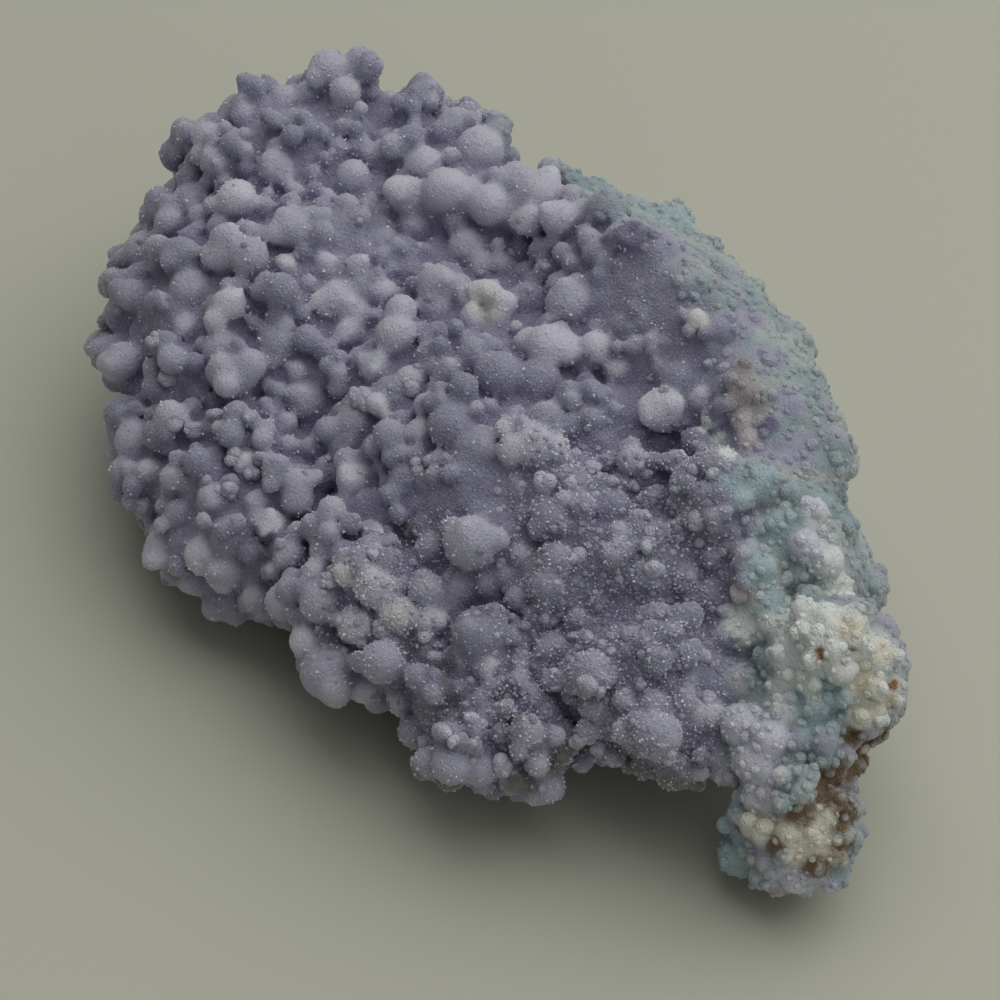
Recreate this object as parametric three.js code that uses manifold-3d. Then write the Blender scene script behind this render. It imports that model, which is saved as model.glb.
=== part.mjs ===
// Grape agate: a palm-sized specimen of botryoidal purple chalcedony, grown together as one stone.
// A wedge-shaped body lies along X. Its purple face looks towards -Y and up, its thin green rind towards +Y,
// and a narrow neck at +X ends in a knob and a foot. It rests on the flat break of its root.
// Millimetres, +Z up, with the origin under the middle of the stone, on the surface that it rests on.
import * as THREE from "three";
import { mergeVertices } from "three/addons/utils/BufferGeometryUtils.js";
import Module from "manifold-3d";

const wasm = await Module();
wasm.setup();

// The broad swells of the stone, as ellipsoids: where each is, and its half sizes along X, Y and Z.
const LOBES = {
  body: { at: [-2, 2, 11.7], radii: [28, 17, 11.2] },
  ridge: { at: [0, 15.6, 17.9], radii: [24.1, 8.9, 10.2] },
  back: { at: [-3.7, 16.2, 8.6], radii: [25.2, 9.9, 8.6] },
  far_end: { at: [-25.4, -6, 12.6], radii: [16.2, 16.4, 10.3] },
  far_top: { at: [-36.5, -1.3, 16.7], radii: [9, 10.8, 7.7] },
  far_crest: { at: [-25.3, 9.4, 16.2], radii: [14.4, 7.7, 8.1] },
  tower: { at: [-38.8, 5.4, 20.7], radii: [3.1, 3.1, 4.5] },
  shoulder: { at: [17.9, 10.8, 13.1], radii: [12.6, 9.9, 10.8] },
  left_side: { at: [-12.5, -18.6, 9.2], radii: [14.5, 9, 7] },
  left_lobe: { at: [5.3, -15.2, 9.7], radii: [10.8, 7.4, 6.6] },
  front_lobe: { at: [18.4, -12.7, 8.5], radii: [8.2, 6.9, 5.5] },
  belly: { at: [24.2, -1.8, 11.7], radii: [9.9, 8.1, 5.4] },
  knob: { at: [33.6, 9.4, 14], radii: [6.3, 5.9, 6.8] },
  neck: { at: [35.9, 4.9, 11.2], radii: [5, 4.5, 5.4] },
  foot: { at: [39.8, 2.2, 6.8], radii: [5.4, 5, 5.6] },
  root: { at: [-1, 2.7, 1.8], radii: [19.8, 11.7, 6.3] },
};
const LOBE_DETAIL = 2; // each edge of the icosahedron in three

// The point of view from which the raised bunches are placed, and how wide its picture is at the target.
const VIEW = {
  azimuth: THREE.MathUtils.degToRad(60),
  elevation: THREE.MathUtils.degToRad(45),
  target: new THREE.Vector3(11.1, -6.8, 22.4),
  distance: 297,
  picturePixels: 1000,
  pictureWidth: 79.2,
};

// Bunches of grapes that stand out from a step away: the pixel of the view, and the radius.
const BUNCHES = {
  crest_low: { pixel: [425, 200], radius: 3.6 },
  crest_middle: { pixel: [495, 205], radius: 3.6 },
  crest_high: { pixel: [480, 140], radius: 3.4 },
  crest_end: { pixel: [548, 215], radius: 3.2 },
  crest_back: { pixel: [400, 120], radius: 3.2 },
  finger_tip: { pixel: [345, 290], radius: 2.6 },
  finger: { pixel: [385, 330], radius: 2.8 },
  cream: { pixel: [485, 300], radius: 2.8 },
  bar: { pixel: [550, 345], radius: 2.7 },
  bar_end: { pixel: [600, 355], radius: 2.2 },
  high_single: { pixel: [568, 300], radius: 2.3 },
  right_single: { pixel: [660, 410], radius: 2.2 },
  pointed: { pixel: [515, 440], radius: 3.2 },
  middle_low: { pixel: [450, 480], radius: 2.9 },
  left_single: { pixel: [350, 480], radius: 2.1 },
  left_pale: { pixel: [235, 370], radius: 2.7 },
  left_high: { pixel: [225, 210], radius: 3 },
  left_low: { pixel: [215, 540], radius: 2.8 },
  big_clear: { pixel: [465, 550], radius: 3.6 },
  step: { pixel: [555, 510], radius: 2.7 },
  low_left: { pixel: [355, 580], radius: 3 },
  low_left_edge: { pixel: [375, 665], radius: 2.7 },
  low_middle: { pixel: [480, 645], radius: 3 },
  druse: { pixel: [630, 560], radius: 4.4 },
  druse_high: { pixel: [705, 500], radius: 4.2 },
  druse_low: { pixel: [655, 650], radius: 3.8 },
  bottom: { pixel: [445, 755], radius: 3.2 },
  bottom_right: { pixel: [525, 748], radius: 2.5 },
  pale_low: { pixel: [570, 670], radius: 2.9 },
  edge_low: { pixel: [640, 735], radius: 3 },
  lilac: { pixel: [750, 745], radius: 3.2 },
  lilac_low: { pixel: [775, 790], radius: 2.7 },
  rind_pale: { pixel: [805, 545], radius: 3.2 },
  rind_teal: { pixel: [755, 485], radius: 2.4 },
  knob_top: { pixel: [815, 640], radius: 3.8 },
};
const BUNCH_SUNK = 0.35; // the share of a bunch's radius by which its centre lies below the lobe

// Lumps that cover the rest: close grapes on the purple face, low swells on the rind and the underside.
// Each kind has a range of radii, a least distance between centres in radii, and the share that is sunk.
const PURPLE_LUMPS = { least: 2.6, most: 3.6, spacing: 1.75, sunk: 0.4 };
const RIND_LUMPS = { least: 3.2, most: 4.6, spacing: 2.7, sunk: 0.66 };
const UNDER_LUMPS = { least: 3.4, most: 4.8, spacing: 3.2, sunk: 0.6 };
const RIND_EDGE = { y: 16, bend: 0.0135, underZ: 4 }; // it starts at this y, sooner as x grows, and below this z
const UNDERSIDE = -0.25; // the Z part of an outward normal below which a surface faces down
const LEAST_HEIGHT = 3.4; // no lump starts lower, so that the flat break stays the lowest face
const TRIES_PER_LOBE = 1200;
const GRAPE_SIDES = 7; // around a grape
const GRAPE_RINGS = 4; // from its outer pole to its inner one
const WIDER_THAN_THE_STONE = 200;
const MERGE_WITHIN = 1e-4;
const GOLDEN_ANGLE = Math.PI * (3 - Math.sqrt(5));

// A repeatable number from 0 to 1 for each whole number.
function chance(n) {
  const s = Math.sin(n * 12.9898 + 4.1414) * 43758.5453;
  return s - Math.floor(s);
}

// How far out a point is from a lobe's middle: 1 on its surface, less inside.
function depthIn(lobe, p) {
  const [x, y, z] = [p.x - lobe.at[0], p.y - lobe.at[1], p.z - lobe.at[2]];
  return Math.hypot(x / lobe.radii[0], y / lobe.radii[1], z / lobe.radii[2]);
}

function normalOn(lobe, p) {
  const slope = (i, v) => (v - lobe.at[i]) / lobe.radii[i] ** 2;
  return new THREE.Vector3(slope(0, p.x), slope(1, p.y), slope(2, p.z)).normalize();
}

// True where the green rind covers the stone.
function onRind(p) {
  const edge = RIND_EDGE.y - RIND_EDGE.bend * Math.max(0, p.x) ** 2;
  return p.y > edge || p.z < RIND_EDGE.underZ;
}

function kindAt(p, normal) {
  if (normal.z < UNDERSIDE) return UNDER_LUMPS;
  return onRind(p) ? RIND_LUMPS : PURPLE_LUMPS;
}

// Where the line of sight through a pixel first meets a lobe, or null.
function seenThrough([px, py]) {
  const { azimuth, elevation, target, distance, picturePixels, pictureWidth } = VIEW;
  const right = new THREE.Vector3(Math.cos(azimuth), Math.sin(azimuth), 0);
  const ahead = new THREE.Vector3(-Math.sin(azimuth), Math.cos(azimuth), 0);
  const sight = ahead.clone().multiplyScalar(Math.cos(elevation));
  sight.z = -Math.sin(elevation);
  const up = new THREE.Vector3().crossVectors(right, sight);
  const eye = target.clone().addScaledVector(sight, -distance);
  const scale = pictureWidth / picturePixels;
  const through = target
    .clone()
    .addScaledVector(right, (px - picturePixels / 2) * scale)
    .addScaledVector(up, (picturePixels / 2 - py) * scale);
  const ray = through.sub(eye).normalize();

  let nearest = null;
  for (const lobe of Object.values(LOBES)) {
    const [a, b, c] = lobe.radii;
    const squash = new THREE.Vector3(1 / a, 1 / b, 1 / c);
    const o = eye.clone().sub(new THREE.Vector3(...lobe.at)).multiply(squash);
    const d = ray.clone().multiply(squash);
    const half = o.dot(d);
    const disc = half * half - d.lengthSq() * (o.lengthSq() - 1);
    if (disc <= 0) continue;
    const t = (-half - Math.sqrt(disc)) / d.lengthSq();
    if (!nearest || t < nearest.t) nearest = { t, lobe };
  }
  if (!nearest) return null;
  const point = eye.addScaledVector(ray, nearest.t);
  return { point, normal: normalOn(nearest.lobe, point) };
}

// The bunches, each pressed a little into the lobe that carries it.
function bunches() {
  const made = [];
  for (const { pixel, radius } of Object.values(BUNCHES)) {
    const seen = seenThrough(pixel);
    if (!seen) continue;
    const at = seen.point.addScaledVector(seen.normal, -BUNCH_SUNK * radius);
    made.push({ at, radius, outward: seen.normal });
  }
  return made;
}

// Grapes on a golden spiral over each lobe, where no other lobe or grape is in the way.
function scattered(already) {
  const made = [...already];
  Object.values(LOBES).forEach((lobe, which) => {
    for (let i = 0; i < TRIES_PER_LOBE; i++) {
      const seed = which * TRIES_PER_LOBE + i;
      const height = 1 - (2 * (i + 0.5)) / TRIES_PER_LOBE;
      const around = GOLDEN_ANGLE * i;
      const ring = Math.sqrt(1 - height * height);
      const p = new THREE.Vector3(
        lobe.at[0] + lobe.radii[0] * ring * Math.cos(around),
        lobe.at[1] + lobe.radii[1] * ring * Math.sin(around),
        lobe.at[2] + lobe.radii[2] * height,
      );
      if (p.z < LEAST_HEIGHT) continue;
      const buried = Object.values(LOBES).some((other) => other !== lobe && depthIn(other, p) < 1);
      if (buried) continue;
      const outward = normalOn(lobe, p);
      const kind = kindAt(p, outward);
      const radius = kind.least + (kind.most - kind.least) * chance(seed) ** 2;
      const at = p.addScaledVector(outward, -kind.sunk * radius);
      const room = kind.spacing / 2;
      if (made.some((g) => g.at.distanceTo(at) < room * (g.radius + radius))) continue;
      made.push({ at, radius, outward });
    }
  });
  return made;
}

// A three.js shape as a manifold-3d solid, with its shared vertices merged.
function solidOf(geometry) {
  geometry.deleteAttribute("normal");
  geometry.deleteAttribute("uv");
  const merged = mergeVertices(geometry, MERGE_WITHIN);
  return new wasm.Manifold(
    new wasm.Mesh({
      numProp: 3,
      vertProperties: merged.attributes.position.array,
      triVerts: new Uint32Array(merged.index.array),
    }),
  );
}

function lobeSolid({ at, radii }) {
  const shape = new THREE.IcosahedronGeometry(1, LOBE_DETAIL).scale(...radii).translate(...at);
  return solidOf(shape);
}

// A round grape, with a pole outwards, turned so that the facets of neighbours don't line up.
function grapeSolid({ at, radius, outward }, index) {
  const pole = new THREE.Vector3(0, 1, 0);
  const shape = new THREE.SphereGeometry(radius, GRAPE_SIDES, GRAPE_RINGS)
    .rotateY(2 * Math.PI * chance(index))
    .applyQuaternion(new THREE.Quaternion().setFromUnitVectors(pole, outward))
    .translate(at.x, at.y, at.z);
  return solidOf(shape);
}

// Everything below the resting plane, along which the root was broken off.
function belowTheBreak() {
  const size = WIDER_THAN_THE_STONE;
  return solidOf(new THREE.BoxGeometry(size, size, size).translate(0, 0, -size / 2));
}

// The whole stone, moved so that the origin is under the middle of its box.
function stone() {
  const grapes = scattered(bunches());
  const solids = [...Object.values(LOBES).map(lobeSolid), ...grapes.map(grapeSolid)];
  const joined = wasm.Manifold.union(solids);
  const mesh = joined.subtract(belowTheBreak()).getMesh();
  const geometry = new THREE.BufferGeometry();
  geometry.setAttribute("position", new THREE.BufferAttribute(mesh.vertProperties, 3));
  geometry.setIndex(new THREE.BufferAttribute(mesh.triVerts, 1));
  geometry.computeBoundingBox();
  const middle = geometry.boundingBox.getCenter(new THREE.Vector3());
  geometry.translate(-middle.x, -middle.y, 0);
  geometry.computeVertexNormals();
  return geometry;
}

const chalcedony = new THREE.MeshStandardMaterial({
  color: 0x8a86a0,
  roughness: 0.62,
  metalness: 0,
});

const agate = new THREE.Mesh(stone(), chalcedony);
agate.name = "grape_agate";
const group = new THREE.Group();
group.add(agate);
export default group;
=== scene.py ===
"""The looks of a grape agate: one stone of purple botryoidal chalcedony on a thin green and cream rind.

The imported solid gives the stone's broad form. Here the single grapes are fused onto it in a distance field,
which is turned into two closed halves. Small spherules, rind granules and druse crystals are set on them.
Lengths are millimetres until a mesh is made, and the frame's metres from then on.
"""

import math

import bpy
import numpy as np
import openvdb as vdb
from mathutils import Matrix, Vector
from mathutils.bvhtree import BVHTree


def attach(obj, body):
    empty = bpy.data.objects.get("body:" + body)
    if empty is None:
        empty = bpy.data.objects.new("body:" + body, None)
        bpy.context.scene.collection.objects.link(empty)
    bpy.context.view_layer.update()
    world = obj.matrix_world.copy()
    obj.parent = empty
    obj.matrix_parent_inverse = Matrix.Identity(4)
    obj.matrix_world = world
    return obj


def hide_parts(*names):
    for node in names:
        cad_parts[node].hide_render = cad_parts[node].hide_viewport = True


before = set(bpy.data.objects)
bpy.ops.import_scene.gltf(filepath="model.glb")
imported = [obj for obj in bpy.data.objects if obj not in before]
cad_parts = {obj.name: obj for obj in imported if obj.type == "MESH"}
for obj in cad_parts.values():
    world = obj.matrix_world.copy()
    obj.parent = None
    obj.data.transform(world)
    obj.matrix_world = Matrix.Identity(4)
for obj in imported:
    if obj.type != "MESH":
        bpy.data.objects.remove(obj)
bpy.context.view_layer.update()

MM = 0.001  # a millimetre in the frame's metres
NODE = "grape_agate"
SEED = 41

# The photograph's viewpoint, in millimetres and degrees.
VIEW_TARGET = Vector((12.0, -6.2, 22.4))
VIEW_DISTANCE = 297.0
VIEW_AZIMUTH = 60.0
VIEW_ELEVATION = 45.0
LENS = 135.0
SENSOR = 36.0
PICTURE_PIXELS = 1000.0
PIXEL = VIEW_DISTANCE * SENSOR / LENS / PICTURE_PIXELS  # a pixel's size at the target

# The distance field.
VOXEL = 0.435
BAND = 3.5  # how far from the surface the distances are kept
MARGIN = 4.5  # round the solid
FLATNESS = 0.02  # how readily flat faces of the mesh are made larger
NECK = 0.3  # how softly grapes run into what they grow on
VALLEY = 0.5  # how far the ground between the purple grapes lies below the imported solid

# The stone's mesh is in two closed halves. Their seam is a plane low round the stone, through this place.
SEAM_PLACE = (0.0, 0.0, 6.0)
SEAM_UP = (0.09, -0.15, 0.98)
SEAM_DIVE = 2.0  # how steeply each half runs in under the other
SEAM_LAP = 0.7  # how far the upper half reaches over the lower one
SEAM_SHRINK = 0.05  # how much thinner the lower half is
SEAM_FADE = 2.5  # how far from the seam the light has its full spread inside the stone
TRANSLUCENT = 0.6  # the share of the light that spreads inside the stone

# How uneven the surface is: the size of its features and how far they rise and fall, in millimetres.
SWELL_SIZE = 2.6
SWELL_DEPTH = 0.25
DIMPLE_SIZE = 1.5
DIMPLE_DEPTH = 0.09
GRAIN_SIZE = 0.8
GRAIN_DEPTH = 0.04
DRUSE_DEPTH = 0.14  # of the grain, more where the druse is dense

# The druse's crystals, with their radii in millimetres.
CRYSTALS = 23000
LEAST_CRYSTAL = 0.05
MOST_CRYSTAL = 0.16
SPARSE = 0.15  # how many there are away from the dense zones

# Where the rind starts: at this y, sooner towards the neck, and below this height.
RIND_Y = 16.6
RIND_BEND = 0.0135
RIND_UNDER_Z = 3.5
RIND_SOFTNESS = 1.6

# Grapes that the photograph shows, bunch by bunch: how pale the bunch is from 0 to 1, and for each grape
# the pixel x and y of its middle and its radius in millimetres. The smallest are in lists of their own.
BUNCHES = {
    "ridge": (0.80, [
        (424, 167, 1.8), (407, 196, 1.8), (413, 224, 1.6), (445, 190, 2.0), (400, 190, 1.3), (472, 199, 1.9),
        (490, 205, 1.9), (480, 150, 2.1), (520, 215, 1.6), (539, 196, 2.1), (558, 218, 1.6), (530, 220, 1.4),
    ]),
    "far_tip": (0.65, [(325, 68, 1.8), (353, 177, 1.6), (312, 95, 1.5), (345, 92, 1.4), (285, 100, 1.4)]),
    "upper_middle": (0.55, [
        (468, 249, 1.8), (482, 268, 1.4), (501, 268, 1.35), (438, 285, 1.75), (434, 306, 1.6),
        (568, 303, 1.9), (566, 284, 0.7),
    ]),
    "cream_ring": (0.95, [
        (468, 301, 1.0), (478, 291, 1.0), (491, 291, 1.0), (505, 303, 1.1), (499, 316, 1.1), (472, 316, 1.0),
    ]),
    "fingers": (0.70, [
        (327, 266, 1.0), (357, 266, 1.1), (338, 301, 1.8), (352, 316, 1.6), (348, 335, 1.4), (384, 295, 1.4),
        (401, 310, 1.4), (396, 335, 1.75), (376, 368, 1.4), (411, 381, 1.35),
    ]),
    "bar": (0.90, [
        (532, 345, 1.6), (563, 349, 1.6), (549, 347, 1.9), (595, 349, 1.5), (618, 370, 1.3),
    ]),
    "purple_middle": (0.12, [
        (480, 635, 2.3), (526, 301, 1.7), (538, 383, 2.0), (498, 375, 2.0), (452, 427, 2.0), (475, 454, 2.0),
        (662, 441, 1.1), (526, 517, 0.95), (551, 519, 1.6), (580, 507, 1.2), (679, 380, 1.6),
        (547, 585, 1.35),
    ]),
    "pointed_mass": (0.85, [
        (532, 446, 1.9), (512, 450, 1.3), (554, 450, 1.3), (507, 429, 1.0), (421, 433, 1.3), (376, 404, 1.0),
    ]),
    "white_grape": (1.00, [(662, 410, 1.85), (703, 397, 0.95), (742, 418, 1.1), (748, 437, 0.95)]),
    "clear_group": (0.50, [
        (432, 549, 1.5), (470, 543, 2.2), (497, 539, 1.0), (459, 585, 1.6), (426, 589, 1.4), (520, 555, 0.95),
    ]),
    "low_left": (0.95, [
        (375, 585, 1.75), (398, 585, 1.0), (398, 616, 1.6), (356, 625, 1.6), (364, 688, 1.3),
        (402, 698, 1.35), (302, 639, 1.3), (345, 576, 0.9), (424, 639, 0.9), (432, 620, 1.2),
    ]),
    "low_left_clear": (0.35, [(382, 662, 1.75), (327, 673, 2.2), (346, 704, 0.95)]),
    "low_middle": (0.40, [
        (484, 667, 1.2), (457, 662, 1.4), (457, 692, 1.1), (520, 662, 1.0), (520, 681, 0.9),
        (533, 698, 0.95), (547, 713, 1.1), (556, 650, 1.6), (593, 707, 1.1), (625, 700, 0.9),
        (654, 701, 0.95), (551, 736, 0.9), (622, 732, 0.9), (658, 736, 1.9), (581, 761, 0.95),
        (610, 763, 0.9), (643, 767, 0.9),
    ]),
    "bottom_lobe": (0.40, [
        (398, 740, 1.4), (402, 763, 1.3), (474, 727, 0.95), (451, 765, 1.6), (444, 788, 0.95),
        (480, 769, 1.4), (537, 763, 1.1), (514, 778, 1.3), (503, 767, 0.9),
    ]),
    "far_left": (0.50, [
        (243, 116, 1.1), (214, 162, 1.2), (168, 222, 1.3), (275, 170, 1.6), (290, 229, 1.75),
        (223, 256, 1.6), (248, 256, 1.75), (225, 239, 1.3), (191, 289, 1.9), (187, 327, 1.3), (232, 376, 1.9),
        (250, 365, 1.4), (296, 371, 1.0), (310, 402, 1.75), (288, 445, 0.95), (311, 447, 0.9),
        (155, 553, 1.4), (225, 568, 1.6), (290, 555, 1.3), (297, 484, 1.3), (297, 500, 1.4),
        (213, 500, 1.4), (258, 502, 1.1), (150, 470, 1.1), (172, 477, 1.1), (257, 520, 0.95),
    ]),
    "far_left_pale": (1.00, [
        (237, 199, 1.75), (231, 304, 1.4), (285, 264, 1.0), (205, 555, 1.75), (273, 527, 1.3),
        (247, 465, 1.3), (352, 480, 1.35), (215, 320, 1.1),
    ]),
    "rind_lobes": (0.60, [
        (745, 390, 1.2), (757, 481, 1.9), (742, 500, 1.0), (782, 527, 1.6), (763, 569, 1.2), (774, 600, 1.2),
        (805, 545, 1.3), (697, 318, 0.9), (742, 370, 1.0),
    ]),
    "beside_the_knob": (0.90, [
        (745, 612, 1.3), (765, 600, 1.4), (775, 625, 1.5), (755, 632, 1.2), (785, 655, 1.3), (742, 640, 1.0),
        (812, 515, 1.4), (826, 560, 1.6), (838, 592, 1.3), (800, 575, 1.2),
    ]),
    "under_the_knob": (0.75, [
        (756, 761, 1.9), (729, 774, 1.4), (769, 738, 1.6), (758, 797, 1.3), (742, 725, 1.75), (711, 714, 1.0),
        (682, 575, 1.7), (732, 634, 1.4), (715, 640, 1.0),
    ]),
    "foot": (0.60, [
        (736, 857, 1.75), (826, 817, 0.9), (787, 834, 1.1), (838, 852, 0.9), (816, 868, 0.9), (794, 881, 1.0),
    ]),
}
SPHERULES = {
    "middle": (0.60, [
        (545, 268, 0.5), (364, 400, 0.8), (418, 471, 0.7), (429, 461, 0.6), (521, 486, 0.55), (544, 486, 0.8),
        (570, 484, 0.6), (579, 557, 0.8), (663, 391, 0.4), (709, 365, 0.55), (576, 454, 0.5),
        (589, 468, 0.7), (501, 563, 0.5), (412, 389, 0.8),
    ]),
    "druse": (0.65, [
        (640, 466, 0.4), (646, 473, 0.6), (612, 481, 0.5), (632, 485, 0.55), (682, 460, 0.55),
        (693, 470, 0.5), (714, 474, 0.55), (676, 488, 0.35), (644, 517, 0.6), (650, 533, 0.6),
        (679, 527, 0.6), (698, 519, 0.9), (679, 538, 0.4), (700, 542, 0.55), (646, 546, 0.55),
        (652, 569, 0.8), (743, 554, 0.7),
        (728, 611, 0.8), (740, 593, 0.85),
    ]),
    "low_left": (0.70, [
        (358, 537, 0.35), (367, 531, 0.5), (375, 533, 0.8), (388, 531, 0.55), (375, 556, 0.55),
        (350, 560, 0.5), (331, 579, 0.7), (413, 564, 0.5), (340, 621, 0.4), (323, 631, 0.55),
        (361, 642, 0.55), (382, 631, 0.8), (438, 648, 0.35), (424, 639, 0.6),
    ]),
    "low_middle": (0.50, [
        (470, 683, 0.55), (514, 623, 0.6), (526, 625, 0.55), (543, 617, 0.5), (556, 617, 0.7),
        (572, 638, 0.6), (602, 646, 0.55), (631, 636, 0.8), (643, 654, 0.5), (589, 684, 0.8),
        (599, 690, 0.6), (641, 686, 0.5),
        (556, 736, 0.8), (579, 740, 0.7), (600, 749, 0.8), (669, 755, 0.6), (700, 656, 0.7), (708, 698, 0.7),
        (696, 782, 0.7),
    ]),
    "bottom_lobe": (0.70, [
        (429, 745, 0.8), (444, 732, 0.6), (455, 740, 0.5), (472, 719, 0.6), (472, 744, 0.4), (503, 767, 0.8),
    ]),
    "far_left": (0.50, [
        (154, 341, 0.6), (170, 378, 0.8), (174, 425, 0.7), (194, 430, 0.8), (218, 417, 0.7), (249, 417, 0.6),
        (356, 395, 0.6), (235, 455, 0.7), (262, 460, 0.7), (250, 472, 0.7), (207, 480, 0.5), (230, 489, 0.7),
        (143, 506, 0.7), (281, 545, 0.6),
    ]),
    "foot": (0.80, [
        (861, 747, 0.7), (861, 716, 0.7), (765, 828, 0.8), (749, 823, 0.8), (818, 870, 0.6), (713, 828, 0.8),
        (754, 859, 0.5), (838, 840, 0.6),
    ]),
}

# Stretches with few and low grapes, and dark holes with none: pixel x and y, and radius in millimetres.
CALM = [
    (350, 215, 4.5), (440, 262, 2.4), (640, 290, 6.5), (680, 350, 5.0), (620, 405, 4.0), (500, 485, 4.5),
    (440, 500, 3.2), (620, 560, 6.5), (700, 500, 4.5), (660, 640, 6.0), (720, 690, 4.0), (150, 300, 3.5),
]
HOLES = [(490, 604, 1.4), (405, 535, 1.3), (413, 645, 1.2), (490, 692, 1.2), (480, 309, 0.9), (545, 545, 1.2)]

# Patches of colour: linear colour, and for each patch the pixel x and y and radius in millimetres.
PATCHES = {
    "mint": ((0.900, 0.960, 0.910), [
        (800, 610, 3.4), (785, 640, 3.2), (795, 675, 3.2), (825, 625, 3.6), (835, 655, 3.8), (870, 660, 3.4),
        (750, 620, 2.2), (770, 605, 2.4), (826, 560, 2.0), (838, 590, 2.2), (815, 510, 1.6), (880, 700, 2.4),
        (706, 425, 0.8), (718, 440, 0.9), (728, 452, 0.8),
    ]),
    "teal": ((0.430, 0.570, 0.610), [
        (660, 217, 2.0), (700, 230, 2.2), (757, 481, 2.2), (742, 500, 1.2), (782, 527, 2.0), (763, 569, 1.6),
        (774, 600, 1.5), (843, 698, 1.9), (818, 721, 1.7), (736, 857, 2.6), (713, 828, 1.2), (800, 700, 1.0),
        (730, 480, 1.0),
    ]),
    "lilac": ((0.720, 0.720, 0.830), [
        (756, 761, 2.4), (729, 774, 2.0), (769, 738, 2.0), (758, 797, 1.8), (742, 725, 2.2), (711, 714, 1.4),
        (805, 545, 1.8), (820, 500, 1.8), (794, 881, 1.9), (822, 888, 1.6), (770, 893, 1.5),
    ]),
    "mauve": ((0.400, 0.395, 0.530), [
        (645, 236, 1.6), (665, 243, 1.6), (688, 256, 1.7), (725, 330, 2.2), (770, 355, 1.8), (750, 320, 1.6),
        (790, 400, 1.6), (800, 450, 1.8), (760, 455, 1.3),
    ]),
    "violet": ((0.170, 0.155, 0.270), [(632, 237, 1.7), (618, 230, 1.1), (770, 425, 0.8), (760, 432, 0.5)]),
    "ivory": ((0.700, 0.700, 0.670), [(697, 318, 1.1), (485, 302, 1.8), (345, 576, 1.0), (398, 616, 1.5)]),
    # Along the stone's lower edge: the duller grey of its granules there, and painted shade where that edge
    # lies in shadow.
    "grey_and_painted_shade": ((0.190, 0.190, 0.180), [
        (560, 762, 1.5), (595, 768, 1.6), (635, 778, 1.7), (670, 785, 1.5), (520, 785, 1.4), (480, 800, 1.6),
        (440, 802, 1.6), (400, 785, 1.4), (580, 745, 1.0), (620, 750, 1.0), (650, 790, 1.5), (695, 790, 1.2),
    ]),
    "cream": ((0.820, 0.790, 0.640), [
        (826, 817, 1.5), (861, 747, 1.2), (861, 716, 1.2), (787, 834, 1.6), (765, 828, 1.3), (749, 823, 1.1),
        (838, 852, 1.6), (810, 835, 1.7), (800, 855, 1.4), (820, 850, 1.4), (862, 680, 1.7), (850, 625, 1.4),
        (880, 650, 1.3), (885, 700, 1.2),
    ]),
    "tan": ((0.400, 0.355, 0.365), [(745, 390, 1.5), (742, 368, 1.2), (757, 405, 1.0)]),
    "pink": ((0.660, 0.590, 0.615), [(742, 418, 1.2), (748, 437, 1.1), (740, 593, 1.2)]),
    "ochre": ((0.270, 0.130, 0.040), [
        (820, 656, 0.7), (855, 649, 0.5), (894, 685, 0.6), (845, 664, 0.4), (872, 700, 0.5), (866, 640, 0.4),
        (826, 872, 0.8), (780, 896, 0.8),
    ]),
    "brown": ((0.180, 0.108, 0.042), [
        (885, 732, 2.0), (856, 763, 2.2), (838, 776, 2.0), (848, 815, 1.9), (816, 870, 1.3), (870, 745, 2.1),
        (840, 800, 1.9), (800, 812, 1.4), (825, 790, 1.8), (850, 735, 1.3), (775, 845, 1.1), (845, 850, 1.3),
    ]),
    # In recesses: the stone's deeper purple-brown there, and painted shade.
    "recess_purple_and_painted_shade": ((0.120, 0.105, 0.150), [
        (440, 665, 1.9), (455, 688, 1.9), (412, 650, 1.5), (515, 722, 1.7), (500, 700, 1.7), (490, 604, 1.7),
        (405, 535, 1.4), (545, 545, 1.3), (260, 545, 1.6), (300, 520, 1.3), (335, 640, 1.3),
    ]),
}

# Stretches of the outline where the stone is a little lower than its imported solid.
LOWERED = [(545, 160, 4.0), (600, 185, 4.5), (650, 205, 4.0), (505, 120, 3.0), (862, 500, 3.0)]
CARVED = 1.1  # by how much at most

# Where the rind is a crust of round grains, and where the druse is dense.
KNOBBY = [
    (830, 640, 5.0), (850, 700, 5.0), (800, 700, 4.0), (780, 600, 4.0), (830, 770, 4.5), (790, 830, 5.5),
    (760, 860, 5.0), (750, 750, 4.0), (820, 860, 4.0), (780, 530, 4.0),
]
DRUSE = [
    (560, 460, 4.0), (600, 500, 6.0), (660, 520, 7.0), (620, 580, 8.0), (680, 590, 6.0), (600, 650, 7.0),
    (660, 660, 7.0), (620, 720, 7.0), (690, 730, 5.0), (540, 700, 5.0), (430, 740, 4.0), (380, 600, 5.0),
    (690, 480, 4.0), (360, 560, 3.0), (440, 560, 3.5),
]


def view_axes():
    """The picture's right, the direction of sight and the picture's up, as unit vectors."""
    azimuth = math.radians(VIEW_AZIMUTH)
    elevation = math.radians(VIEW_ELEVATION)
    right = Vector((math.cos(azimuth), math.sin(azimuth), 0))
    ahead = Vector((-math.sin(azimuth), math.cos(azimuth), 0))
    sight = ahead * math.cos(elevation) - Vector((0, 0, math.sin(elevation)))
    return right, sight, right.cross(sight)


RIGHT, SIGHT, UP = view_axes()
EYE = VIEW_TARGET - SIGHT * VIEW_DISTANCE


def sight_through(x, y):
    """The unit vector from the eye through a pixel of the photograph."""
    across = (x - PICTURE_PIXELS / 2) * PIXEL
    above = (PICTURE_PIXELS / 2 - y) * PIXEL
    return (SIGHT * VIEW_DISTANCE + RIGHT * across + UP * above).normalized()


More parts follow.
